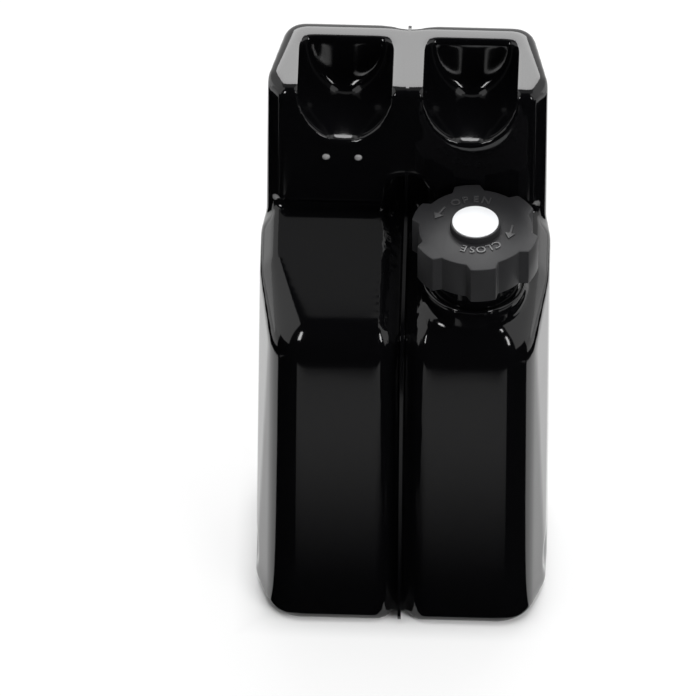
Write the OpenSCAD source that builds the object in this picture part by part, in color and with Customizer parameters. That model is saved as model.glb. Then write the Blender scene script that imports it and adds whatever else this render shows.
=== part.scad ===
// Fuel canister with two hand troughs, a sloping shoulder and a screw cap, in millimetres.
// It stands upright: X runs to its right, -Y is the front, and Z starts at the ground.

/* [Body] */
// Width across the side walls
body_w = 180; // [170:1:220]
// Depth from front face to back face
body_d = 150; // [150:1:180]
// Height to the top of the grip bars
body_h = 370; // [360:1:420]
// Thickness of the blown wall
wall = 3; // [2:0.5:3.5]
// Radius that rounds the front face into the shoulder and into the corners
front_r = 24; // [20:1:28]
// Radius of the edge round the base
base_r = 8; // [5:0.5:10]
// Radius of the back corners in plan
back_r = 20; // [14:1:24]
// How far each side wall runs in towards the back corner
back_in = 8; // [4:1:10]
// Height at which the flat front face ends
front_face_top = 217; // [200:1:225]
// Depth of the side facet in front of the flat side wall, at the base
facet_depth_base = 39; // [34:1:45]
// Depth of the side facet in front of the flat side wall, at the shoulder
facet_depth_top = 57; // [50:1:62]
// How far the front corner stands in from the side wall
facet_in = 6; // [3:0.5:9]

/* [Shoulder] */
// Slope of the shoulder
shoulder_angle = 24; // [18:1:28]
// Width of the bevel along the side of the shoulder
bevel_w = 9; // [6:0.5:12]
// Height of the bevel along the side of the shoulder
bevel_h = 11; // [7:0.5:14]
// Radius that softens the bevel's edges
edge_r = 5; // [4.5:0.5:7]

/* [Grip block] */
// Depth of the shoulder in front of the grip block
shoulder_d = 82; // [82:1:88]
// Width of the grip block at its widest
block_w = 174; // [166:1:178]
// Width of the grip block at the back
block_back_w = 158; // [150:1:170]
// Width of the grip block's front face between its corner facets
block_face_w = 158; // [150:1:164]
// Depth of the corner facets of the grip block
block_facet_d = 12; // [8:1:16]
// Radius of the upright corners at the front of the block
block_edge_r = 4.5; // [4:0.5:6]
// Radius of the upright corners at the back of the block
block_back_r = 14; // [10:1:20]
// Radius along the front and the sides of the bars' top
bar_r = 5; // [4.5:0.5:9]
// Radius along the back of the block's top
back_bar_r = 9; // [5:0.5:10]

/* [Hand troughs] */
// Distance between the middles of the two troughs
trough_pitch = 78; // [74:1:84]
// Width of a trough
trough_w = 58; // [50:1:60]
// Depth of a trough below the top of the bars
trough_depth = 42; // [36:1:48]
// Thickness of the wall behind the troughs
back_bar = 18; // [17:1:22]
// Radius where the floor of a trough turns up into its back wall
trough_end_r = 16; // [8:1:20]

/* [Centre channel] */
// Width of the channel on the front, the shoulder and the base
channel_w = 34; // [28:1:40]
// Depth of the channel on the front and the shoulder
channel_depth = 8.5; // [6:0.5:10]
// Width of the channel on the back
back_channel_w = 44; // [36:1:50]
// Depth of the channel on the back
back_channel_depth = 7; // [4:0.5:8]
// Depth of the channel under the base
base_channel_depth = 3; // [2:0.5:4]
// Thickness of the parting fin
fin_t = 2; // [1:0.25:3]
// Height above the shoulder to which the channel runs up the grip block
arch_h = 30; // [24:1:36]

/* [Foot of the grip block] */
// Radius of the channel at the foot of the grip block
foot_channel_r = 5; // [4:0.5:6]

/* [Neck] */
// Distance of the neck's axis to the right of the middle
neck_x = 44; // [43:0.5:46]
// Distance of the neck's axis behind the front face
neck_back = 40; // [40:0.5:41]
// Radius of the round boss under the neck
boss_r = 32; // [30:0.5:34]
// Height of the boss's rim above the shoulder beneath the axis
boss_rise = 3.5; // [2:0.5:6]
// Outer radius of the neck
neck_r = 28; // [26:0.5:28.5]
// Wall of the neck
neck_wall = 3.5; // [3:0.5:5]
// Height of the neck above the boss
neck_h = 37.4; // [36:0.2:39]

/* [Cap] */
// Radius over the lobes
cap_r = 40; // [39:0.5:40.5]
// Height of the cap without its boss
cap_h = 26.4; // [24:0.2:27]
// Depth of the notches between the lobes
notch_depth = 4.8; // [3:0.2:5.4]
// Number of lobes
lobes = 6; // [5:1:8]
// Width of a lobe at its outer face
lobe_tip_w = 16; // [12:0.5:17]
// Width of a lobe at its root
lobe_root_w = 20; // [16:0.5:21]
// Turn of the first lobe from the cap's right side
lobe_turn = 39; // [0:1:60]
// Thickness of the cap's top
cap_top_t = 3.5; // [3:0.25:4.5]
// Room between the neck and the cap's skirt
cap_gap = 2.5; // [2:0.25:3]
// Height of the round boss on the cap
cap_boss_h = 4.5; // [3:0.5:6]
// Radius of the badge disc
badge_r = 14.4; // [12:0.2:17]
// Thickness of the badge disc
badge_t = 1.2; // [0.8:0.1:2]
// Width of the rim round the badge
badge_rim = 1.2; // [0.8:0.1:2]
// Thickness of the gasket
seal_t = 2; // [1.5:0.25:3]
// Inner radius of the gasket
seal_r_in = 21; // [18:0.5:22]

/* [Studs] */
// Distance between the two studs
stud_pitch = 20; // [16:1:26]
// Distance of the pair's middle to the left of the body's middle
stud_x = 40; // [36:1:44]
// Distance of the studs below the top of the bars
stud_drop = 55; // [52:1:58]
// Radius of a stud's head
stud_r = 2.4; // [2:0.2:3]
// Height of a stud's head
stud_h = 1.2; // [0.8:0.1:1.6]
// Radius of a stud's shank
shank_r = 1.4; // [1:0.1:1.8]
// Length of a stud's shank
shank_l = 2; // [1.2:0.1:2]

/* [Hidden] */
// Sides of a full circle on the formed shell and on the turned pieces
hull_fn = 32;
turned_fn = 96;
// Overlap of cutting shapes past the face that they open
over = 1;
fit_gap = 0.1;
// How far the foot channel's axis lies inside the block's face and its lower side below the shoulder
foot_in = 0.7;
foot_drop = 1.2;
half_w = body_w / 2;
half_d = body_d / 2;
front_cy = front_r - half_d;
// The facet's outline gives how far the front corner's centre lies from the side wall
corner_x = half_w - facet_in - front_r;
block_y = shoulder_d - half_d;
neck_y = half_d - neck_back;
shoulder_back = shoulder_z(block_y);
block_foot = front_face_top;
bar_line = body_h - bar_r;
cap_inner_r = neck_r + cap_gap;
boss_z = shoulder_z(-neck_y) + boss_rise;
neck_top = boss_z + neck_h;
cap_z = neck_top + seal_t + cap_top_t - cap_h;
cap_top = cap_z + cap_h;

// Height of the shoulder's plane at depth y
function shoulder_z(y) =
    front_face_top + (front_r + (y - front_cy) * sin(shoulder_angle)) / cos(shoulder_angle);

// A disc of radius r whose rim is rounded by edge, drawn in from its surface by inset
module rounded_disc(x, y, z, r, edge, inset) {
    translate([x, y, z])
        rotate_extrude($fn = hull_fn) translate([r - edge, 0])
            intersection() {
                circle(r = edge - inset, $fn = hull_fn);
                translate([edge - r, -edge]) square([r, 2 * edge]);
            }
}

// The lower body, drawn in from its outer surface by inset
module lower_form(inset) {
    back_x = half_w - back_in - back_r;
    back_y = half_d - back_r;
    hull() for (side = [-1, 1]) {
        rounded_disc(side * corner_x, front_cy, base_r, front_r, base_r, inset);
        rounded_disc(side * back_x, back_y, base_r, back_r, base_r, inset);
        for (y = [facet_depth_base - half_d, block_y])
            translate([side * (half_w - base_r), y, base_r]) sphere(r = base_r - inset, $fn = hull_fn);
        translate([side * corner_x, front_cy, front_face_top])
            sphere(r = front_r - inset, $fn = hull_fn);
        for (y = [facet_depth_top - half_d, block_y]) {
            translate([side * (half_w - edge_r), y, shoulder_z(y) - bevel_h - edge_r])
                sphere(r = edge_r - inset, $fn = hull_fn);
            translate([side * (half_w - bevel_w - edge_r / 2), y, shoulder_z(y) - edge_r / cos(shoulder_angle)])
                sphere(r = edge_r - inset, $fn = hull_fn);
        }
        rounded_disc(side * back_x, back_y, shoulder_back - bevel_h - edge_r, back_r, edge_r, inset);
        rounded_disc(side * back_x, back_y, shoulder_back - edge_r, back_r - bevel_w, edge_r, inset);
    }
}

// The grip block over the shoulder, drawn in from its outer surface by inset
module block_form(inset) {
    face_x = block_face_w / 2 - block_edge_r / 2;
    side_x = block_w / 2 - block_edge_r;
    back_x = block_back_w / 2 - block_back_r;
    back_y = half_d - block_back_r;
    hull() for (side = [-1, 1]) {
        for (spot = [[face_x, block_edge_r], [side_x, block_facet_d]])
            translate([side * spot.x, block_y + spot.y, block_foot])
                cylinder(r = block_edge_r - inset, h = bar_line - block_foot, $fn = hull_fn);
        for (spot = [[face_x, bar_r], [block_w / 2 - bar_r, block_facet_d + bar_r]])
            translate([side * spot.x, block_y + spot.y, bar_line])
                sphere(r = bar_r - inset, $fn = hull_fn);
        for (z = [block_foot, body_h - back_bar_r])
            rounded_disc(side * back_x, back_y, z, block_back_r, back_bar_r, inset);
    }
}

// One hand trough: a half-elliptical channel, open at the top and the front; grow widens it
module trough(x, grow) {
    half = trough_w / 2 + grow;
    depth = trough_depth + grow;
    end_y = half_d - back_bar + grow;
    floor_z = body_h - depth;
    intersection() {
        translate([x, end_y + over, body_h]) rotate([90, 0, 0])
            linear_extrude(height = end_y - block_y + bar_r + 2 * over)
                polygon(concat(
                    [for (i = [0:18]) [-half * cos(i * 10), -depth * sin(i * 10)]],
                    [[half, bar_r], [-half, bar_r]]));
        translate([x - half - over, 0, 0]) rotate([90, 0, 90])
            linear_extrude(height = 2 * (half + over))
                polygon(concat(
                    [[block_y - bar_r, floor_z - over]],
                    [for (i = [0:6]) [end_y - trough_end_r + trough_end_r * sin(i * 15),
                                      floor_z + trough_end_r - trough_end_r * cos(i * 15)]],
                    [[end_y, body_h + bar_r + over], [block_y - bar_r, body_h + bar_r + over]]));
    }
}

// The section of a channel: a smooth dip, depth deep in the middle, closed above the surface
module dip(width, depth) {
    polygon(concat(
        [for (i = [0:12]) [width * (i / 12 - 0.5), -depth / 2 * (1 - cos(i * 30))]],
        [[width / 2, over], [-width / 2, over]]));
}

// All the centre channels; grow widens and deepens them for the inside of the wall
module channels(grow) {
    up = body_h + 2 * over;
    slope_l = (block_y - front_cy) / cos(shoulder_angle) + front_r + channel_depth;
    translate([0, -half_d, -over])
        linear_extrude(height = front_face_top + front_r + over)
            rotate([0, 0, 180]) dip(channel_w + 2 * grow, channel_depth + grow);
    translate([0, half_d, -over]) linear_extrude(height = up)
        dip(back_channel_w + 2 * grow, back_channel_depth + grow);
    translate([0, half_d + over, 0]) rotate([90, 180, 0]) linear_extrude(height = body_d + 2 * over)
        dip(channel_w + 2 * grow, base_channel_depth + grow);
    translate([0, front_cy, front_face_top]) rotate([shoulder_angle, 0, 0])
        translate([0, slope_l - front_r, front_r]) rotate([90, 0, 0]) linear_extrude(height = slope_l)
            dip(channel_w + 2 * grow, channel_depth + grow);
    // The channel ends in an arch in the foot of the grip block
    translate([0, block_y + channel_depth + grow, shoulder_back + arch_h - channel_w / 2 + 4])
        rotate([90, 0, 0]) cylinder(r = channel_w / 2 - 4 + grow, h = channel_depth + grow + over, $fn = turned_fn);
    translate([4 - channel_w / 2 - grow, block_y - over, shoulder_back - channel_depth - grow])
        cube([channel_w - 8 + 2 * grow, channel_depth + grow + over, arch_h - channel_w / 2 + 4 + channel_depth + grow]);
}

// The channel across the foot of the grip block
module foot_channel(grow) {
    translate([-half_w - over, block_y + foot_in, shoulder_back + foot_channel_r - foot_drop])
        rotate([0, 90, 0]) cylinder(r = foot_channel_r + grow, h = body_w + 2 * over, $fn = turned_fn);
}

// One blown shell: grip block, shoulder, body and neck in a single moulding
module can_body() {
    color([0.04, 0.04, 0.045]) difference() {
        union() {
            difference() {
                union() {
                    lower_form(0);
                    block_form(0);
                }
                difference() {
                    channels(0);
                    translate([-fin_t / 2, -body_d, -body_h]) cube([fin_t, 2 * body_d, 3 * body_h]);
                }
                for (side = [-1, 1]) trough(side * trough_pitch / 2, 0);
                foot_channel(0);
            }
            translate([neck_x, -neck_y, front_face_top])
                cylinder(r = boss_r, h = boss_z - front_face_top, $fn = turned_fn);
            translate([neck_x, -neck_y, front_face_top])
                cylinder(r = neck_r, h = neck_top - front_face_top, $fn = turned_fn);
        }
        difference() {
            union() {
                lower_form(wall);
                block_form(wall);
                translate([neck_x, -neck_y, front_face_top - wall])
                    cylinder(r = boss_r - wall, h = boss_z - front_face_top, $fn = turned_fn);
            }
            channels(wall);
            for (side = [-1, 1]) trough(side * trough_pitch / 2, wall);
            foot_channel(wall);
        }
        translate([neck_x, -neck_y, front_face_top])
            cylinder(r = neck_r - neck_wall, h = neck_top - front_face_top + over, $fn = turned_fn);
        for (side = [-1, 1])
            translate([side * stud_pitch / 2 - stud_x, block_y - over, body_h - stud_drop])
                rotate([-90, 0, 0]) cylinder(r = shank_r + fit_gap, h = shank_l + fit_gap + over, $fn = 24);
    }
}

// Screw cap with lobes for the hand and a raised boss that holds the badge
module cap_shell() {
    root_r = cap_r - notch_depth;
    color([0.12, 0.12, 0.125]) translate([neck_x, -neck_y, cap_z]) difference() {
        union() {
            cylinder(r = root_r, h = cap_h, $fn = turned_fn);
            intersection() {
                cylinder(r = cap_r, h = cap_h, $fn = turned_fn);
                for (i = [0:lobes - 1])
                    rotate(lobe_turn + i * 360 / lobes) linear_extrude(height = cap_h)
                        polygon([[0, -lobe_root_w / 2], [root_r, -lobe_root_w / 2], [cap_r + over, -lobe_tip_w / 2],
                                 [cap_r + over, lobe_tip_w / 2], [root_r, lobe_root_w / 2], [0, lobe_root_w / 2]]);
            }
            cylinder(r = badge_r + badge_rim, h = cap_h + cap_boss_h, $fn = turned_fn);
        }
        translate([0, 0, -over]) cylinder(r = cap_inner_r, h = cap_h - cap_top_t + over, $fn = turned_fn);
        translate([0, 0, cap_h + cap_boss_h - badge_t / 2])
            cylinder(r = badge_r + fit_gap, h = badge_t + over, $fn = turned_fn);
    }
}

// White disc set into the cap's boss
module cap_badge() {
    color([0.93, 0.93, 0.93]) translate([neck_x, -neck_y, cap_top + cap_boss_h - badge_t / 2])
        cylinder(r = badge_r, h = badge_t, $fn = turned_fn);
}

// Rubber gasket between the neck's lip and the cap's top
module cap_seal() {
    color([0.2, 0.2, 0.2]) translate([neck_x, -neck_y, neck_top]) difference() {
        cylinder(r = cap_inner_r - fit_gap, h = seal_t, $fn = turned_fn);
        translate([0, 0, -over]) cylinder(r = seal_r_in, h = seal_t + 2 * over, $fn = turned_fn);
    }
}

// Two studs pushed into the front of the grip block
module front_studs() {
    dome_r = (stud_r * stud_r + stud_h * stud_h) / (2 * stud_h);
    color([0.6, 0.6, 0.6]) for (side = [-1, 1])
        translate([side * stud_pitch / 2 - stud_x, block_y, body_h - stud_drop]) rotate([90, 0, 0]) {
            intersection() {
                translate([0, 0, stud_h - dome_r]) sphere(r = dome_r, $fn = turned_fn);
                cylinder(r = stud_r, h = stud_h, $fn = turned_fn);
            }
            translate([0, 0, -shank_l]) cylinder(r = shank_r, h = shank_l, $fn = 24);
        }
}

can_body();
cap_shell();
cap_badge();
cap_seal();
front_studs();
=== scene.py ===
import math
import bmesh
import bpy
from mathutils import Matrix, Vector


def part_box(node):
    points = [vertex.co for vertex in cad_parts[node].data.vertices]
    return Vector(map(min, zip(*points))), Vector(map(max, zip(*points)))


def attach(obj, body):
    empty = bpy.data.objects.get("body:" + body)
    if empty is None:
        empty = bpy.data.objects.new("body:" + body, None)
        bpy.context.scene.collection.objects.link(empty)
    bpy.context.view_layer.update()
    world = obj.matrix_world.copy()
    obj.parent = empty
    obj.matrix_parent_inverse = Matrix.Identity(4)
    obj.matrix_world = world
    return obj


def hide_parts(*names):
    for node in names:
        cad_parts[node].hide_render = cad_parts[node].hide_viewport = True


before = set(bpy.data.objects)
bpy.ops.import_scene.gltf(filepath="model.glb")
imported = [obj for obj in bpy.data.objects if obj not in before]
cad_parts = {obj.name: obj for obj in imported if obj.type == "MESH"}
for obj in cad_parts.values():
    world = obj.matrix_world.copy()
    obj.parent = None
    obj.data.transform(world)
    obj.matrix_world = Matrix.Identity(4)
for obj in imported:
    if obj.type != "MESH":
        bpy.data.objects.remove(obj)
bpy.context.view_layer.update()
mm = 0.001


# Camera: it stands far off straight in front of the canister, and looks down on it
# through so long a lens that the canister's upright edges stay parallel.
camera_azimuth = math.radians(1.2)
camera_elevation = math.radians(41.9)
camera_roll = math.radians(0.6)
camera_distance = 3.0
picture_width = 432 * mm
aim_right, aim_up = -35.0 * mm, 121.3 * mm

toward_camera = Vector((math.sin(camera_azimuth) * math.cos(camera_elevation),
                        -math.cos(camera_azimuth) * math.cos(camera_elevation),
                        math.sin(camera_elevation)))
camera = bpy.data.objects.new("camera", bpy.data.cameras.new("camera"))
bpy.context.collection.objects.link(camera)
camera.data.type = "ORTHO"
camera.data.ortho_scale = picture_width
camera_turn = toward_camera.to_track_quat("Z", "Y")
aim = camera_turn @ Vector((aim_right, aim_up, 0))
camera.location = aim + toward_camera * camera_distance
camera.rotation_euler = (camera_turn.to_matrix() @ Matrix.Rotation(camera_roll, 3, "Z")).to_euler()
bpy.context.scene.camera = camera


# Shell: one blow moulding of glossy black polyethylene, hollow, with every edge rounded by the mould.
# It is the grip block over the sloping body, from which the channels and the two hand troughs are
# pressed in. It carries the boss of the neck, and the parting fin stands in the centre channel.
body_low, body_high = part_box("can_body")
half_w = (body_high.x - body_low.x) / 2
half_d = (body_high.y - body_low.y) / 2
body_top = body_high.z
wall = 3 * mm
front_r, base_r, back_r, edge_r = 24 * mm, 8 * mm, 20 * mm, 5 * mm
back_in = 8 * mm
slope = math.radians(24)
front_face_top = 217 * mm
front_y = front_r - half_d
corner_x = half_w - 6 * mm - front_r
facet_back_low, facet_back_high = 39 * mm - half_d, 57 * mm - half_d
bevel_w, bevel_h = 9 * mm, 11 * mm
block_y = 82 * mm - half_d
block_half_w, block_half_face, block_half_back = 87 * mm, 79 * mm, 79 * mm
block_facet_d, block_edge_r, block_back_r = 12 * mm, 4.5 * mm, 14 * mm
bar_r, back_bar_r = 5 * mm, 9 * mm
trough_x, trough_half_w, trough_depth, back_bar = 39 * mm, 29 * mm, 42 * mm, 18 * mm
trough_end_deep, trough_end_wide = 10 * mm, 7 * mm
channel_w, channel_depth = 34 * mm, 8.5 * mm
back_channel_w, back_channel_depth, base_channel_depth = 44 * mm, 7 * mm, 3 * mm
arch_half_w, arch_h = 13 * mm, 30 * mm
foot_channel_r, foot_in, foot_drop = 4.3 * mm, 0.7 * mm, 0.7 * mm
foot_bead_r, foot_bead_heights = 0.7 * mm, (7.4 * mm, 10.4 * mm)
foot_bead_from, foot_bead_to = arch_half_w + 1 * mm, 72 * mm
dimple_depth, dimple_half_h = 2.5 * mm, 17 * mm
dimple_y, dimple_z = -30 * mm, 27 * mm
fin_t = 2 * mm
over = 4 * mm
outer_sides, inner_sides = 64, 24
skin_cell = 2.0 * mm


def shoulder_z(y):
    """Height of the shoulder's plane at depth y."""
    return front_face_top + (front_r + (y - front_y) * math.sin(slope)) / math.cos(slope)


block_foot = front_face_top
shoulder_back = shoulder_z(block_y)


def make_object(name, bm):
    """Turns a bmesh into an object at the origin."""
    mesh = bpy.data.meshes.new(name)
    bm.to_mesh(mesh)
    bm.free()
    obj = bpy.data.objects.new(name, mesh)
    bpy.context.collection.objects.link(obj)
    return obj


def settle(obj):
    """Makes what the modifiers of an object show its real mesh."""
    graph = bpy.context.evaluated_depsgraph_get()
    finished = bpy.data.meshes.new_from_object(obj.evaluated_get(graph))
    obj.modifiers.clear()
    obj.data = finished


def join_solids(obj, tool, way):
    """Joins, cuts or intersects obj with tool, which is used up."""
    change = obj.modifiers.new(way.lower(), "BOOLEAN")
    change.operation = way
    change.solver = "MANIFOLD"
    change.object = tool
    settle(obj)
    bpy.data.objects.remove(tool)


def add_ball(bm, x, y, z, radius, sides):
    bmesh.ops.create_uvsphere(bm, u_segments=sides, v_segments=sides // 2, radius=radius,
                              matrix=Matrix.Translation((x, y, z)))


def add_disc(bm, x, y, z, radius, edge, inset, sides):
    """A flat disc with a rounded rim, drawn in from its surface by inset."""
    steps = sides // 4
    for step in range(steps + 1):
        tilt = math.pi * (step / steps - 0.5)
        bmesh.ops.create_circle(bm, segments=sides,
                                radius=radius - edge + (edge - inset) * math.cos(tilt),
                                matrix=Matrix.Translation((x, y, z + (edge - inset) * math.sin(tilt))))


def wrap(bm):
    """Stretches one skin round all the points of a bmesh."""
    bmesh.ops.delete(bm, geom=bm.edges[:] + bm.faces[:], context="EDGES_FACES")
    made = bmesh.ops.convex_hull(bm, input=bm.verts[:])
    stray = [item for item in made["geom_interior"] + made["geom_unused"]
             if isinstance(item, bmesh.types.BMVert)]
    bmesh.ops.delete(bm, geom=list(set(stray)), context="VERTS")
    bmesh.ops.recalc_face_normals(bm, faces=bm.faces[:])


def body_form(inset, sides):
    """The body below the grip block, drawn in from its surface by inset."""
    bm = bmesh.new()
    back_x, back_y = half_w - back_in - back_r, half_d - back_r
    for side in (-1, 1):
        add_disc(bm, side * corner_x, front_y, base_r, front_r, base_r, inset, sides)
        add_disc(bm, side * back_x, back_y, base_r, back_r, base_r, inset, sides)
        for y in (facet_back_low, block_y):
            add_ball(bm, side * (half_w - base_r), y, base_r, base_r - inset, sides)
        add_ball(bm, side * corner_x, front_y, front_face_top, front_r - inset, sides)
        for y in (facet_back_high, block_y):
            add_ball(bm, side * (half_w - edge_r), y, shoulder_z(y) - bevel_h - edge_r, edge_r - inset,
                     sides)
            add_ball(bm, side * (half_w - bevel_w - edge_r / 2), y,
                     shoulder_z(y) - edge_r / math.cos(slope), edge_r - inset, sides)
        add_disc(bm, side * back_x, back_y, shoulder_back - bevel_h - edge_r, back_r, edge_r, inset, sides)
        add_disc(bm, side * back_x, back_y, shoulder_back - edge_r, back_r - bevel_w, edge_r, inset, sides)
    wrap(bm)
    return make_object("body_form", bm)


def block_form(inset, sides):
    """The grip block, drawn in from its surface by inset."""
    bm = bmesh.new()
    bar_line = body_top - bar_r
    face_x, side_x = block_half_face - block_edge_r / 2, block_half_w - block_edge_r
    back_x, back_y = block_half_back - block_back_r, half_d - block_back_r
    for side in (-1, 1):
        for x, y in ((face_x, block_edge_r), (side_x, block_facet_d)):
            for z in (block_foot, bar_line):
                bmesh.ops.create_circle(bm, segments=sides, radius=block_edge_r - inset,
                                        matrix=Matrix.Translation((side * x, block_y + y, z)))
        for x, y in ((face_x, bar_r), (block_half_w - bar_r, block_facet_d + bar_r)):
            add_ball(bm, side * x, block_y + y, bar_line, bar_r - inset, sides)
        for z in (block_foot, body_top - back_bar_r):
            add_disc(bm, side * back_x, back_y, z, block_back_r, back_bar_r, inset, sides)
    wrap(bm)
    return make_object("block_form", bm)


def push(bm, face, move=(0, 0, 0), scale=(1, 1, 1), centre=(0, 0, 0), turn=0, axis="X"):
    """Extrudes a face, then moves, scales or turns its new end about centre."""
    made = bmesh.ops.extrude_face_region(bm, geom=[face])["geom"]
    if any(len(edge.link_faces) > 2 for edge in face.edges):
        bmesh.ops.delete(bm, geom=[face], context="FACES_ONLY")
    ends = [item for item in made if isinstance(item, bmesh.types.BMVert)]
    bmesh.ops.translate(bm, vec=move, verts=ends)
    bmesh.ops.scale(bm, vec=scale, space=Matrix.Translation(-Vector(centre)), verts=ends)
    bmesh.ops.rotate(bm, cent=centre, matrix=Matrix.Rotation(turn, 3, axis), verts=ends)
    return next(item for item in made if isinstance(item, bmesh.types.BMFace))


def face_outwards(bm):
    bmesh.ops.recalc_face_normals(bm, faces=bm.faces[:])


def trough_plug(x, grow):
    """What presses one hand trough in: half an ellipse, rounded off towards the back bar."""
    bm = bmesh.new()
    half, depth = trough_half_w + grow, trough_depth + grow
    end_y = half_d - back_bar + grow
    bmesh.ops.create_circle(bm, cap_ends=True, segments=72, radius=1,
                            matrix=Matrix.Rotation(math.pi / 2, 4, "X"))
    bmesh.ops.scale(bm, vec=(half, 1, depth), verts=bm.verts)
    bmesh.ops.translate(bm, vec=(x, block_y - 3 * over, body_top), verts=bm.verts)
    for vert in bm.verts:
        if vert.co.z > body_top + 0.01 * mm:
            vert.co.z = body_top + 3 * over
    face = bm.faces[:][0]
    start = end_y - trough_end_deep
    face = push(bm, face, move=(0, start - block_y + 3 * over, 0))
    end_steps = 10
    was = (0, 1, 1)
    for step in range(1, end_steps + 1):
        turn = math.pi / 2 * step / end_steps
        now = (trough_end_deep * math.sin(turn), 1 - trough_end_wide / half * (1 - math.cos(turn)),
               1 - trough_end_deep / depth * (1 - math.cos(turn)))
        face = push(bm, face, move=(0, now[0] - was[0], 0), scale=(now[1] / was[1], 1, now[2] / was[2]),
                    centre=(x, 0, body_top))
        was = now
    face_outwards(bm)
    return make_object("trough_plug", bm)


def dip_face(bm, width, depth):
    """The section of a channel at the origin: a smooth dip towards +Y, closed at -Y above the surface."""
    steps = 24
    dip = []
    for step in range(steps + 1):
        sunk = depth / 2 * (1 - math.cos(2 * math.pi * step / steps))
        dip.append(bm.verts.new((width * (step / steps - 0.5), sunk, 0)))
    lids = [bm.verts.new((side * width / 2, -over, 0)) for side in (1, -1)]
    return bm.faces.new(dip + lids)


def channel_plugs(grow):
    """What presses the channels in: front and shoulder in one sweep, the back, the base and the arch."""
    plugs = []
    bm = bmesh.new()
    face = dip_face(bm, channel_w + 2 * grow, channel_depth + grow)
    bmesh.ops.translate(bm, vec=(0, -half_d, -over), verts=bm.verts)
    face = push(bm, face, move=(0, 0, front_face_top + over))
    corner_steps = 16
    for step in range(corner_steps):
        face = push(bm, face, centre=(0, front_y, front_face_top),
                    turn=-(math.pi / 2 - slope) / corner_steps)
    run = (block_y - front_y) / math.cos(slope) + channel_depth
    push(bm, face, move=(0, run * math.cos(slope), run * math.sin(slope)))
    face_outwards(bm)
    plugs.append(make_object("front_channel_plug", bm))

    bm = bmesh.new()
    face = dip_face(bm, back_channel_w + 2 * grow, back_channel_depth + grow)
    bmesh.ops.rotate(bm, cent=(0, 0, 0), matrix=Matrix.Rotation(math.pi, 3, "Z"), verts=bm.verts)
    bmesh.ops.translate(bm, vec=(0, half_d, -over), verts=bm.verts)
    push(bm, face, move=(0, 0, body_top + 2 * over))
    face_outwards(bm)
    plugs.append(make_object("back_channel_plug", bm))

    bm = bmesh.new()
    face = dip_face(bm, channel_w + 2 * grow, base_channel_depth + grow)
    bmesh.ops.rotate(bm, cent=(0, 0, 0), matrix=Matrix.Rotation(math.pi / 2, 3, "X"), verts=bm.verts)
    bmesh.ops.translate(bm, vec=(0, -half_d - over, 0), verts=bm.verts)
    push(bm, face, move=(0, 2 * half_d + 2 * over, 0))
    face_outwards(bm)
    plugs.append(make_object("base_channel_plug", bm))

    bm = bmesh.new()
    half, low = arch_half_w + grow, shoulder_back - channel_depth - grow
    round_z = shoulder_back + arch_h - arch_half_w
    place = Matrix.Translation((0, block_y - over, round_z))
    bmesh.ops.create_circle(bm, cap_ends=True, segments=48, radius=half,
                            matrix=place @ Matrix.Rotation(math.pi / 2, 4, "X"))
    for vert in bm.verts:
        if vert.co.z < round_z - 0.01 * mm:
            vert.co.z = low
    face = bm.faces[:][0]
    push(bm, face, move=(0, channel_depth + grow + over, 0))
    face_outwards(bm)
    plugs.append(make_object("arch_plug", bm))
    return plugs


def foot_channel_plug(grow):
    """What presses the channel across the foot of the grip block in."""
    bm = bmesh.new()
    place = Matrix.Translation((0, block_y + foot_in, shoulder_back + foot_channel_r - foot_drop))
    bmesh.ops.create_cone(bm, cap_ends=True, segments=48, radius1=foot_channel_r + grow,
                          radius2=foot_channel_r + grow, depth=2 * half_w + 2 * over,
                          matrix=place @ Matrix.Rotation(math.pi / 2, 4, "Y"))
    return make_object("foot_channel_plug", bm)


def rail(x_from, x_to, y, z, radius):
    """A round bar along X."""
    bm = bmesh.new()
    place = Matrix.Translation(((x_from + x_to) / 2, y, z))
    bmesh.ops.create_cone(bm, cap_ends=True, segments=24, radius1=radius, radius2=radius,
                          depth=x_to - x_from, matrix=place @ Matrix.Rotation(math.pi / 2, 4, "Y"))
    return make_object("rail", bm)


def box_solid(name, low, high):
    bm = bmesh.new()
    middle = (Vector(low) + Vector(high)) / 2
    size = Vector(high) - Vector(low)
    bmesh.ops.create_cube(bm, size=1, matrix=Matrix.Translation(middle) @ Matrix.Diagonal((*size, 1)))
    return make_object(name, bm)


def turned(name, outline, x, y, sides=96):
    """A turned piece: its closed outline of (radius, height) points goes once round the upright at x, y."""
    bm = bmesh.new()
    points = [bm.verts.new((radius, 0, z)) for radius, z in outline]
    edges = [bm.edges.new((points[i], points[(i + 1) % len(points)])) for i in range(len(points))]
    bmesh.ops.spin(bm, geom=points + edges, cent=(0, 0, 0), axis=(0, 0, 1), angle=2 * math.pi,
                   steps=sides, use_merge=True)
    bmesh.ops.remove_doubles(bm, verts=bm.verts, dist=0.001 * mm)
    bmesh.ops.translate(bm, vec=(x, y, 0), verts=bm.verts)
    bmesh.ops.recalc_face_normals(bm, faces=bm.faces[:])
    return make_object(name, bm)


# The neck and its boss stand where the CAD's cap and gasket are. The coarse thread rises 6 mm a turn.
cap_low, cap_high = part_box("cap_shell")
seal_low, seal_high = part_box("cap_seal")
neck_x, neck_y = (seal_low.x + seal_high.x) / 2, (seal_low.y + seal_high.y) / 2
neck_top = seal_low.z
neck_root_r, neck_bore_r, neck_lip = 27.4 * mm, 24.5 * mm, 1.0 * mm
rim_share = 0.3
boss_r, boss_z = 32 * mm, shoulder_z(neck_y) + 3.5 * mm
bead_r, bead_in = 1.2 * mm, 0.7 * mm
pitch = 6 * mm
ridge_out, ridge_sunk, ridge_root_half, ridge_crest_half = 2.0 * mm, 0.6 * mm, 1.3 * mm, 0.7 * mm
neck_thread_rise, neck_turns = 12.1 * mm, 3.6


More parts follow.
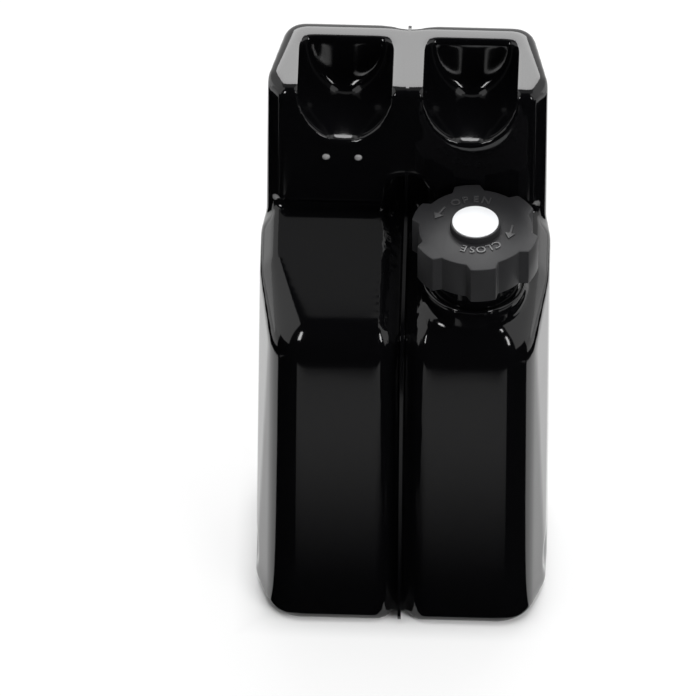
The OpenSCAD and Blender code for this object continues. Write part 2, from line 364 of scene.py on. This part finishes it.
def thread_ridge(name, root_r, outward, z, turns):
    """A thread's ridge: it starts at +X at height z, and climbs the wall of radius root_r, right-handed."""
    bm = bmesh.new()
    sunk, crest = root_r - outward * ridge_sunk, root_r + outward * ridge_out
    section = [(sunk, -ridge_root_half), (crest, -ridge_crest_half),
               (crest, ridge_crest_half), (sunk, ridge_root_half)]
    face = bm.faces.new([bm.verts.new((radius, 0, z + rise)) for radius, rise in section])
    per_turn, run_out, thin_end = 64, 8, 0.15
    count = round(turns * per_turn)
    size = thin_end
    bmesh.ops.scale(bm, vec=(size,) * 3, space=Matrix.Translation((-sunk, 0, -z)), verts=face.verts)
    for step in range(1, count + 1):
        face = push(bm, face, move=(0, 0, pitch / per_turn), turn=2 * math.pi / per_turn, axis="Z")
        wanted = max(thin_end, min(1, step / run_out, (count - step) / run_out))
        angle = 2 * math.pi * step / per_turn
        foot = Vector((sunk * math.cos(angle), sunk * math.sin(angle), z + pitch * step / per_turn))
        bmesh.ops.scale(bm, vec=(wanted / size,) * 3, space=Matrix.Translation(-foot), verts=face.verts)
        size = wanted
    bmesh.ops.translate(bm, vec=(neck_x, neck_y, 0), verts=bm.verts)
    face_outwards(bm)
    return make_object(name, bm)


shell = body_form(0, outer_sides)
shell.name = "shell"
join_solids(shell, block_form(0, outer_sides), "UNION")
fin = box_solid("fin", (-fin_t / 2, -2 * half_d, -over), (fin_t / 2, 2 * half_d, body_top + over))
whole = bpy.data.objects.new("whole", shell.data.copy())
bpy.context.collection.objects.link(whole)
join_solids(fin, whole, "INTERSECT")
for plug in channel_plugs(0):
    join_solids(shell, plug, "DIFFERENCE")
for side in (-1, 1):
    join_solids(shell, trough_plug(side * trough_x, 0), "DIFFERENCE")
join_solids(shell, foot_channel_plug(0), "DIFFERENCE")
dimple_r = (dimple_half_h ** 2 + dimple_depth ** 2) / (2 * dimple_depth)
for side in (-1, 1):
    bm = bmesh.new()
    add_ball(bm, side * (half_w - dimple_depth + dimple_r), dimple_y, dimple_z, dimple_r, outer_sides)
    join_solids(shell, make_object("dimple_plug", bm), "DIFFERENCE")
boss_outline = [(0, front_face_top), (boss_r, front_face_top), (boss_r, boss_z), (0, boss_z)]
join_solids(shell, turned("boss", boss_outline, neck_x, neck_y), "UNION")

# The mould's rounded edges: one even skin, softened all over
skin = shell.modifiers.new("mould", "REMESH")
skin.mode = "VOXEL"
skin.voxel_size = skin_cell
soften = shell.modifiers.new("soften", "SMOOTH")
soften.factor = 0.5
soften.iterations = 8
settle(shell)

join_solids(shell, fin, "UNION")

# Two fine ridges, left where the mould's halves of the foot channel meet
for height in foot_bead_heights:
    for side in (-1, 1):
        near, far = side * foot_bead_from, side * foot_bead_to
        foot_bead = rail(min(near, far), max(near, far), block_y, shoulder_back + height, foot_bead_r)
        join_solids(shell, foot_bead, "UNION")


def rounded_rim(radius, top, edge):
    """The outer top corner of a turned outline, broken by edge."""
    return [(radius, top - edge), (radius - edge * rim_share, top - edge * rim_share), (radius - edge, top)]


neck_outline = [(0, front_face_top), (neck_root_r, front_face_top),
                *rounded_rim(neck_root_r, neck_top, neck_lip), (0, neck_top)]
join_solids(shell, turned("neck", neck_outline, neck_x, neck_y), "UNION")
neck_thread = thread_ridge("neck_thread", neck_root_r, 1, boss_z + neck_thread_rise, neck_turns)
join_solids(shell, neck_thread, "UNION")
bead_sides = 16
bead_angles = [2 * math.pi * step / bead_sides for step in range(bead_sides)]
bead_outline = [(boss_r - bead_in + bead_r * math.cos(angle), boss_z + bead_r * math.sin(angle))
                for angle in bead_angles]
join_solids(shell, turned("bead", bead_outline, neck_x, neck_y), "UNION")

cavity = body_form(wall, inner_sides)
join_solids(cavity, block_form(wall, inner_sides), "UNION")
boss_room = [(0, front_face_top - wall), (boss_r - wall, front_face_top - wall),
             (boss_r - wall, boss_z - wall), (0, boss_z - wall)]
join_solids(cavity, turned("boss_room", boss_room, neck_x, neck_y), "UNION")
for plug in channel_plugs(wall):
    join_solids(cavity, plug, "DIFFERENCE")
for side in (-1, 1):
    join_solids(cavity, trough_plug(side * trough_x, wall), "DIFFERENCE")
join_solids(cavity, foot_channel_plug(wall), "DIFFERENCE")
join_solids(shell, cavity, "DIFFERENCE")
bore_outline = [(0, front_face_top), (neck_bore_r, front_face_top), (neck_bore_r, neck_top - neck_lip / 2),
                (neck_bore_r + neck_lip / 2, neck_top + over), (0, neck_top + over)]
join_solids(shell, turned("bore", bore_outline, neck_x, neck_y), "DIFFERENCE")


def shade(obj, crease=32):
    """Smooth shading, with edges sharper than crease degrees kept."""
    mesh = obj.data
    mesh.shade_smooth()
    mesh.set_sharp_from_angle(angle=math.radians(crease))


shade(shell, 40)


def finish_with(obj, material):
    obj.data.materials.clear()
    obj.data.materials.append(material)


def plastic(name, color, roughness):
    """A plain plastic; its nodes, its shader and its object coordinates are handed back for the pattern."""
    material = bpy.data.materials.new(name)
    material.use_nodes = True
    nodes = material.node_tree.nodes
    shader = nodes["Principled BSDF"]
    shader.inputs["Base Color"].default_value = (*color, 1)
    shader.inputs["Roughness"].default_value = roughness
    place = nodes.new("ShaderNodeTexCoord")
    return material, nodes, material.node_tree.links, shader, place.outputs["Object"]


def bump_from(nodes, links, height, distance, under=None):
    """A pattern's height made bumps of that distance, on top of the bumps under it."""
    bump = nodes.new("ShaderNodeBump")
    bump.inputs["Distance"].default_value = distance
    bump.inputs["Strength"].default_value = 1
    links.new(height, bump.inputs["Height"])
    if under is not None:
        links.new(under, bump.inputs["Normal"])
    return bump.outputs["Normal"]


def noise_of(nodes, links, vector, scale, detail=2.0, stretch=(1, 1, 1)):
    """Noise on the object, with scale waves a metre, drawn out where stretch is below 1."""
    mapping = nodes.new("ShaderNodeMapping")
    mapping.inputs["Scale"].default_value = stretch
    links.new(vector, mapping.inputs["Vector"])
    noise = nodes.new("ShaderNodeTexNoise")
    noise.inputs["Scale"].default_value = scale
    noise.inputs["Detail"].default_value = detail
    links.new(mapping.outputs["Vector"], noise.inputs["Vector"])
    return noise.outputs["Fac"]


# Glossy polyethylene as it leaves the mould: long faint waves, a fine orange peel, and stronger
# ripples down both sides of the parting fin.
black_shell, nodes, links, shader, spot = plastic("black_shell", (0.0016, 0.0016, 0.0019), 0.09)
waves = bump_from(nodes, links, noise_of(nodes, links, spot, 22, 1.0), 0.12 * mm)
peel = bump_from(nodes, links, noise_of(nodes, links, spot, 900, 1.0), 0.004 * mm, under=waves)
split = nodes.new("ShaderNodeSeparateXYZ")
links.new(spot, split.inputs["Vector"])
across = nodes.new("ShaderNodeMath")
across.operation = "ABSOLUTE"
links.new(split.outputs["X"], across.inputs[0])


def band(value, start, full):
    """0 where value is at start or beyond, 1 where it is at full."""
    reach = nodes.new("ShaderNodeMapRange")
    reach.inputs["From Min"].default_value = start
    reach.inputs["From Max"].default_value = full
    links.new(value, reach.inputs["Value"])
    return reach.outputs["Result"]


def times(one, other):
    product = nodes.new("ShaderNodeMath")
    product.operation = "MULTIPLY"
    links.new(one, product.inputs[0])
    links.new(other, product.inputs[1])
    return product.outputs["Value"]


ripple_start, ripple_full, ripple_fade = 1.4 * mm, 2.4 * mm, 4 * mm
beside_fin = times(band(across.outputs["Value"], channel_w / 2, channel_w / 4),
                   band(across.outputs["Value"], ripple_start, ripple_full))
on_front = times(beside_fin, band(split.outputs["Y"], block_y, block_y - ripple_fade))
ripple = times(noise_of(nodes, links, spot, 130, 1.5, stretch=(1, 1, 0.16)), on_front)
links.new(bump_from(nodes, links, ripple, 1.1 * mm, under=peel), shader.inputs["Normal"])
finish_with(shell, black_shell)
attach(shell, "root")
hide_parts("can_body")


# Studs: two small light-grey plastic studs, pressed into the front of the grip block.
grey_stud, nodes, links, shader, spot = plastic("grey_stud", (0.2, 0.2, 0.2), 0.35)
links.new(bump_from(nodes, links, noise_of(nodes, links, spot, 2500), 0.01 * mm), shader.inputs["Normal"])
finish_with(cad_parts["front_studs"], grey_stud)


# Gasket: a ring of soft black rubber inside the cap's top, with its edges broken.
seal_r, seal_in_r = (seal_high.x - seal_low.x) / 2, 21 * mm
seal_edge = 0.4 * mm
seal_outline = [(seal_in_r, seal_low.z + seal_edge), (seal_in_r + seal_edge, seal_low.z),
                (seal_r - seal_edge, seal_low.z), (seal_r, seal_low.z + seal_edge),
                (seal_r, seal_high.z - seal_edge), (seal_r - seal_edge, seal_high.z),
                (seal_in_r + seal_edge, seal_high.z), (seal_in_r, seal_high.z - seal_edge)]
gasket = turned("gasket", seal_outline, neck_x, neck_y)
shade(gasket)
black_rubber, nodes, links, shader, spot = plastic("black_rubber", (0.02, 0.02, 0.02), 0.75)
links.new(bump_from(nodes, links, noise_of(nodes, links, spot, 1200), 0.02 * mm), shader.inputs["Normal"])
finish_with(gasket, black_rubber)
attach(gasket, "seal")
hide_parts("cap_seal")


# Screw cap: injection moulded in satin black plastic with a fine grain. Six lobes for the hand stand
# out of its skirt, a round boss holds the badge, and its thread runs between the neck's ridges.
badge_low, badge_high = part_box("cap_badge")
cap_r, notch_depth, lobe_count = 40 * mm, 4.8 * mm, 6
cap_top_t, cap_bore_r, cap_boss_h, cap_edge = 3.5 * mm, 30.5 * mm, 4.5 * mm, 0.55 * mm
cap_thread_rise, cap_turns = 21.1 * mm, 2.0
badge_r, badge_rim, badge_gap = (badge_high.x - badge_low.x) / 2, 1.2 * mm, 0.1 * mm
cap_bottom, cap_boss_top = cap_low.z, cap_high.z
cap_face = cap_boss_top - cap_boss_h
lobe_turn = math.radians(39)
tip_half, root_half = 11.5, 16.5
tip_steps, notch_steps = 6, 6

bm = bmesh.new()
per_lobe = tip_steps + 1 + notch_steps + 1
bmesh.ops.create_circle(bm, cap_ends=True, segments=per_lobe * lobe_count, radius=cap_r)
for index, vert in enumerate(bm.verts):
    lobe, spot_in_lobe = divmod(index, per_lobe)
    if spot_in_lobe <= tip_steps:
        angle, radius = tip_half * (2 * spot_in_lobe / tip_steps - 1), cap_r
    else:
        share = (spot_in_lobe - tip_steps - 1) / notch_steps
        angle, radius = root_half + share * (360 / lobe_count - 2 * root_half), cap_r - notch_depth
    angle = lobe_turn + math.radians(angle + lobe * 360 / lobe_count)
    vert.co = (radius * math.cos(angle), radius * math.sin(angle), cap_bottom)
push(bm, bm.faces[:][0], move=(0, 0, cap_face - cap_bottom))
face_outwards(bm)
corners = [edge for edge in bm.edges if abs(edge.calc_face_angle(0)) > math.radians(20)]
bmesh.ops.bevel(bm, geom=corners, affect="EDGES", offset=cap_edge, segments=3, profile=0.5, material=-1)
bmesh.ops.translate(bm, vec=(neck_x, neck_y, 0), verts=bm.verts)
cap = make_object("cap", bm)
boss_out, boss_edge, boss_sunk = badge_r + badge_rim, 0.4 * mm, 1 * mm
cap_boss = [(0, cap_face - boss_sunk), (boss_out, cap_face - boss_sunk),
            *rounded_rim(boss_out, cap_boss_top, boss_edge), (0, cap_boss_top)]
join_solids(cap, turned("cap_boss", cap_boss, neck_x, neck_y), "UNION")
cap_room = [(0, cap_bottom - over), (cap_bore_r, cap_bottom - over),
            (cap_bore_r, cap_face - cap_top_t), (0, cap_face - cap_top_t)]
join_solids(cap, turned("cap_room", cap_room, neck_x, neck_y), "DIFFERENCE")
badge_room = [(0, badge_low.z), (badge_r + badge_gap, badge_low.z),
              (badge_r + badge_gap, cap_boss_top + over), (0, cap_boss_top + over)]
join_solids(cap, turned("badge_room", badge_room, neck_x, neck_y), "DIFFERENCE")
join_solids(cap, thread_ridge("cap_thread", cap_bore_r, -1, boss_z + cap_thread_rise, cap_turns), "UNION")
shade(cap)
black_cap, nodes, links, shader, spot = plastic("black_cap", (0.016, 0.016, 0.017), 0.42)
shader.inputs["Specular IOR Level"].default_value = 0.25
cap_grain = noise_of(nodes, links, spot, 1400, 3.0)
links.new(bump_from(nodes, links, cap_grain, 0.06 * mm), shader.inputs["Normal"])
finish_with(cap, black_cap)
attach(cap, "cap")
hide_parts("cap_shell")


# Raised marks on the cap's top, in one moulding with it: the words for its two turns, and an arrow each.
mark_h, letter_size, letter_pitch = 0.8 * mm, 8.0 * mm, math.radians(14.5)


bare_mark, nodes, links, shader, spot = plastic("bare_mark", (0.03, 0.03, 0.031), 0.3)
links.new(bump_from(nodes, links, noise_of(nodes, links, spot, 1400), 0.01 * mm), shader.inputs["Normal"])


def place_on_cap(bm, radius, angle):
    """Puts a mark made at the origin, top towards +Y, on the cap's face at that radius and angle."""
    bmesh.ops.translate(bm, vec=(0, radius, 0), verts=bm.verts)
    bmesh.ops.rotate(bm, cent=(0, 0, 0), matrix=Matrix.Rotation(angle - math.pi / 2, 3, "Z"),
                     verts=bm.verts)
    bmesh.ops.translate(bm, vec=(neck_x, neck_y, cap_face), verts=bm.verts)


def raised_word(word, radius, middle):
    """One word round the cap's middle, tops outward, a letter at a time."""
    for place, letter in enumerate(word):
        curve = bpy.data.curves.new("letter", "FONT")
        curve.body = letter
        curve.size = letter_size
        curve.align_x = "CENTER"
        curve.extrude = mark_h
        curve.resolution_u = 3
        text = bpy.data.objects.new("letter", curve)
        bpy.context.collection.objects.link(text)
        bm = bmesh.new()
        graph = bpy.context.evaluated_depsgraph_get()
        bm.from_mesh(bpy.data.meshes.new_from_object(text.evaluated_get(graph)))
        bpy.data.objects.remove(text)
        bmesh.ops.remove_doubles(bm, verts=bm.verts, dist=0.001 * mm)
        angle = middle + letter_pitch * ((len(word) - 1) / 2 - place)
        place_on_cap(bm, radius, angle)
        add_mark(bm, "mark_" + word.lower() + "_" + str(place))


def raised_arrow(name, radius, angle, clockwise):
    """An arrow along the cap's rim at that angle."""
    bm = bmesh.new()
    shaft_l, shaft_w, head_l, head_w = 12.5 * mm, 1.3 * mm, 5 * mm, 6.5 * mm
    way = 1 if clockwise else -1
    tail, neck, tip = -shaft_l / 2, shaft_l / 2 - head_l, shaft_l / 2
    outline = [(tail, -shaft_w / 2), (neck, -shaft_w / 2), (neck, -head_w / 2), (tip, 0),
               (neck, head_w / 2), (neck, shaft_w / 2), (tail, shaft_w / 2)]
    face = bm.faces.new([bm.verts.new((way * x, y, -mark_h)) for x, y in outline])
    push(bm, face, move=(0, 0, 2 * mark_h))
    face_outwards(bm)
    place_on_cap(bm, radius, angle)
    add_mark(bm, name)


def add_mark(bm, name):
    mark = make_object(name, bm)
    finish_with(mark, bare_mark)
    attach(mark, "cap")


open_r, close_r, open_arrow_r, close_arrow_r = 23.2 * mm, 18.6 * mm, 25.5 * mm, 22.3 * mm
raised_word("OPEN", open_r, math.radians(98))
raised_word("CLOSE", close_r, math.radians(-79))
raised_arrow("mark_open_arrow", open_arrow_r, math.radians(151), False)
raised_arrow("mark_close_arrow", close_arrow_r, math.radians(-10), True)


# Badge: a plain white disc of glossy plastic, snapped into the cap's boss and left bare.
badge_edge = 0.3 * mm
badge_outline = [(0, badge_low.z), (badge_r, badge_low.z),
                 *rounded_rim(badge_r, badge_high.z, badge_edge), (0, badge_high.z)]
badge = turned("badge", badge_outline, neck_x, neck_y)
shade(badge)
white_badge, nodes, links, shader, spot = plastic("white_badge", (0.62, 0.63, 0.64), 0.3)
links.new(bump_from(nodes, links, noise_of(nodes, links, spot, 300), 0.01 * mm), shader.inputs["Normal"])
finish_with(badge, white_badge)
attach(badge, "cap")
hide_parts("cap_badge")


# Floor: a wide pale sheet that runs out to the white background and keeps the canister's shadow.
def white_to_the_eye(nodes, links):
    """1 for the camera and for what gloss and glass show, 0 for the light that falls on the canister."""
    path = nodes.new("ShaderNodeLightPath")
    total = path.outputs["Is Camera Ray"]
    for ray in ("Is Glossy Ray", "Is Transmission Ray"):
        most = nodes.new("ShaderNodeMath")
        most.operation = "MAXIMUM"
        links.new(total, most.inputs[0])
        links.new(path.outputs[ray], most.inputs[1])
        total = most.outputs["Value"]
    return total


floor_half, floor_drop = 8, 0.2 * mm
contact_in, contact_out, floor_glow = 8 * mm, 14 * mm, 0.75
bm = bmesh.new()
bmesh.ops.create_grid(bm, x_segments=1, y_segments=1, size=floor_half,
                      matrix=Matrix.Translation((0, 0, -floor_drop)))
floor = make_object("floor", bm)
pale_floor = bpy.data.materials.new("pale_floor")
pale_floor.use_nodes = True
nodes, links = pale_floor.node_tree.nodes, pale_floor.node_tree.links
nodes.remove(nodes["Principled BSDF"])
matt = nodes.new("ShaderNodeBsdfDiffuse")
matt.inputs["Color"].default_value = (0.85, 0.85, 0.85, 1)
glow = nodes.new("ShaderNodeEmission")

# Close round the footprint the floor glows less, so that the shadow of the base shows there
place = nodes.new("ShaderNodeTexCoord")
split = nodes.new("ShaderNodeSeparateXYZ")
links.new(place.outputs["Object"], split.inputs["Vector"])
beyond = []
for name, reach in (("X", half_w), ("Y", half_d)):
    apart = nodes.new("ShaderNodeMath")
    apart.operation = "ABSOLUTE"
    links.new(split.outputs[name], apart.inputs[0])
    past = nodes.new("ShaderNodeMath")
    past.operation = "SUBTRACT"
    past.inputs[1].default_value = reach
    links.new(apart.outputs["Value"], past.inputs[0])
    beyond.append(past.outputs["Value"])
clear_of = nodes.new("ShaderNodeMath")
clear_of.operation = "MAXIMUM"
links.new(beyond[0], clear_of.inputs[0])
links.new(beyond[1], clear_of.inputs[1])
fade = nodes.new("ShaderNodeMapRange")
fade.inputs["From Min"].default_value = -contact_in
fade.inputs["From Max"].default_value = contact_out
fade.inputs["To Max"].default_value = floor_glow
links.new(clear_of.outputs["Value"], fade.inputs["Value"])
share = nodes.new("ShaderNodeMath")
share.operation = "MULTIPLY"
links.new(white_to_the_eye(nodes, links), share.inputs[0])
links.new(fade.outputs["Result"], share.inputs[1])
blend = nodes.new("ShaderNodeMixShader")
links.new(share.outputs["Value"], blend.inputs["Fac"])
links.new(matt.outputs["BSDF"], blend.inputs[1])
links.new(glow.outputs["Emission"], blend.inputs[2])
links.new(blend.outputs["Shader"], nodes["Material Output"].inputs["Surface"])
finish_with(floor, pale_floor)


# Studio: soft lamps light the canister, and cards that only gloss shows stand round it: a dark screen
# in front with two narrow strip lights, dark floor sheets, a dim sheet overhead and a softbox behind.
def soft_lamp(name, place, size, power):
    """A soft lamp turned to the canister's middle, which gloss doesn't show."""
    lamp = bpy.data.objects.new(name, bpy.data.lights.new(name, "AREA"))
    bpy.context.collection.objects.link(lamp)
    lamp.data.shape = "RECTANGLE"
    lamp.data.size, lamp.data.size_y = size
    lamp.data.energy = power
    lamp.location = place
    aim_at = Vector((0, 0, 0.2))
    lamp.rotation_euler = (Vector(place) - aim_at).to_track_quat("Z", "Y").to_euler()
    lamp.visible_glossy = False
    lamp.visible_camera = False


def card(name, corners, strength):
    """A card that only gloss shows."""
    bm = bmesh.new()
    bm.faces.new([bm.verts.new(corner) for corner in corners])
    sheet = make_object(name, bm)
    material = bpy.data.materials.new(name)
    material.use_nodes = True
    nodes, links = material.node_tree.nodes, material.node_tree.links
    nodes.remove(nodes["Principled BSDF"])
    glow = nodes.new("ShaderNodeEmission")
    glow.inputs["Strength"].default_value = strength
    links.new(glow.outputs["Emission"], nodes["Material Output"].inputs["Surface"])
    finish_with(sheet, material)
    sheet.visible_camera = False
    sheet.visible_diffuse = False
    sheet.visible_transmission = False
    sheet.visible_shadow = False
    return nodes, links, glow


soft_lamp("lamp_back", (0.1, 1.0, 1.3), (1.2, 0.8), 18)
soft_lamp("lamp_top", (0, 0, 1.6), (1.4, 1.2), 18)
soft_lamp("lamp_front", (0.9, -1.2, 0.9), (0.8, 0.8), 15)

screen_y, screen_half, screen_low = -0.305, 0.36, -0.01
ceiling_z, ceiling_split, ceiling_back, ceiling_half = 1.2, -0.066, 0.55, 0.5
card("screen", [(-screen_half, screen_y, screen_low), (screen_half, screen_y, screen_low),
                (screen_half, screen_y, ceiling_z), (-screen_half, screen_y, ceiling_z)], 0)
card("screen_top", [(-screen_half, screen_y, ceiling_z), (screen_half, screen_y, ceiling_z),
                    (screen_half, ceiling_split, ceiling_z), (-screen_half, ceiling_split, ceiling_z)], 0)
overhead_glow, softbox_glow, horizon_glow = 0.3, 6.6, 1.7
card("sheet_overhead", [(-ceiling_half, ceiling_split, ceiling_z), (ceiling_half, ceiling_split, ceiling_z),
                        (ceiling_half, ceiling_back, ceiling_z),
                        (-ceiling_half, ceiling_back, ceiling_z)], overhead_glow)
card("softbox_back", [(-0.5, 1.25, 0.85), (0.5, 1.25, 0.85),
                      (0.5, 0.75, 1.55), (-0.5, 0.75, 1.55)], softbox_glow)

# On the floor: a sheet that brightens away from the front face, between dark ones.
# Its glow is painted shade: the canister's shadow on the floor, darkest by the front face, as gloss shows
# it.
card_z, near_x, near_y, split_x = 0.001, 0.065, -0.078, 0.17
nodes, links, glow = card("floor_front_shade", [(-near_x, near_y, card_z), (-split_x, screen_y, card_z),
                                          (split_x, screen_y, card_z), (near_x, near_y, card_z)], 1)
place = nodes.new("ShaderNodeTexCoord")
split = nodes.new("ShaderNodeSeparateXYZ")
links.new(place.outputs["Object"], split.inputs["Vector"])
fade = nodes.new("ShaderNodeMapRange")
fade.interpolation_type = "SMOOTHSTEP"
fade.inputs["From Min"].default_value = -0.10
fade.inputs["From Max"].default_value = -0.27
fade.inputs["To Max"].default_value = 0.38
links.new(split.outputs["Y"], fade.inputs["Value"])
links.new(fade.outputs["Result"], glow.inputs["Strength"])
# In this loop, the black floor_left and floor_right sheets by the front corners are painted shade: the
# floor there in the canister's shadow, as gloss shows it
for side, name in ((-1, "left"), (1, "right")):
    card("floor_" + name, [(side * 0.085, -0.06, card_z), (side * 0.33, -0.06, card_z),
                           (side * screen_half, screen_y, card_z), (side * split_x, screen_y, card_z),
                           (side * near_x, near_y, card_z)], 0)
    card("floor_far_" + name, [(side * 0.33, -0.10, card_z), (side * 0.55, -0.10, card_z),
                               (side * 0.55, 0.35, card_z), (side * 0.33, 0.35, card_z)], 0)
    card("wing_" + name, [(side * 0.34, -0.08, 0), (side * screen_half, screen_y, 0),
                          (side * screen_half, screen_y, 0.26), (side * 0.34, -0.08, 0.26)], 0)
    card("horizon_" + name, [(side * 1.2, 0.25, 0.01), (side * 0.9, 1.1, 0.01),
                             (side * 0.9, 1.1, 0.6), (side * 1.2, 0.25, 0.6)], horizon_glow)
strip_y, strip_low, strip_high, strip_w, strip_glow = screen_y + 10 * mm, 0.36, 0.56, 0.04, 12
for name, x in (("left", -0.18), ("right", 0.20)):
    card("strip_" + name, [(x, strip_y, strip_low), (x + strip_w, strip_y, strip_low),
                           (x + strip_w, strip_y, strip_high), (x, strip_y, strip_high)], strip_glow)

world = bpy.data.worlds.new("studio")
bpy.context.scene.world = world
world.use_nodes = True
nodes, links = world.node_tree.nodes, world.node_tree.links
room = nodes["Background"]
room.inputs["Color"].default_value = (1, 1, 1, 1)
room_light = 0.3
level = nodes.new("ShaderNodeMapRange")
level.inputs["To Min"].default_value = room_light
links.new(white_to_the_eye(nodes, links), level.inputs["Value"])
links.new(level.outputs["Result"], room.inputs["Strength"])

view = bpy.context.scene.view_settings
view.view_transform = "Standard"
